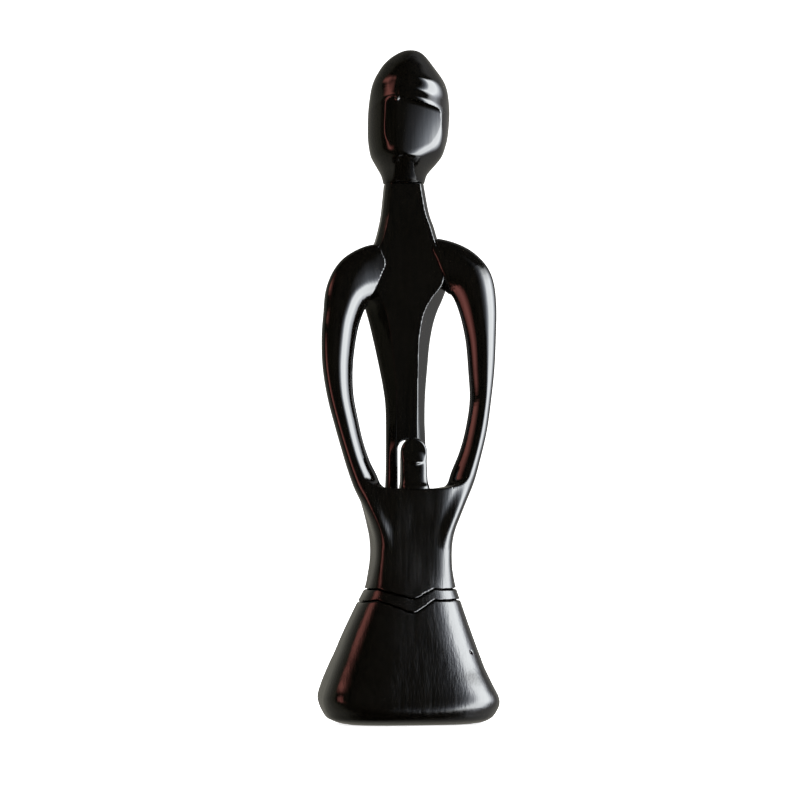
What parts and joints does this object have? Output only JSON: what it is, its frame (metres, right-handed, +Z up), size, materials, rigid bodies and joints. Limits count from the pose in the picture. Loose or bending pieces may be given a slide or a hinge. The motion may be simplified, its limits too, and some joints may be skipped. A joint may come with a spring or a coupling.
{
  "type": "carved ancestor figure",
  "caption": "Free-standing carved mother and child in black lacquered wood, with looped arms, a blank flattened face and a flared skirt base",
  "frame": {"origin": "middle of the base's flat underside", "axes": "+Z up to the crown, -Y towards the way the figure faces, +X to the right seen from the front"},
  "size_m": [0.0906, 0.0618, 0.3367],
  "materials": {
    "black_lacquer": "gloss black lacquer over carved hardwood",
    "dowel_hardwood": "bare turned hardwood"
  },
  "bodies": {
    "root": {"head": "black_lacquer", "torso": "black_lacquer", "left_arm": "black_lacquer", "right_arm": "black_lacquer", "child": "black_lacquer", "hips": "black_lacquer", "waistband": "black_lacquer", "skirt": "black_lacquer", "neck_dowel": "dowel_hardwood", "left_shoulder_dowel": "dowel_hardwood", "right_shoulder_dowel": "dowel_hardwood", "left_wrist_dowel": "dowel_hardwood", "right_wrist_dowel": "dowel_hardwood", "left_column_dowel": "dowel_hardwood", "right_column_dowel": "dowel_hardwood", "child_dowel": "dowel_hardwood", "waist_dowel": "dowel_hardwood"}
  },
  "joints": []
}
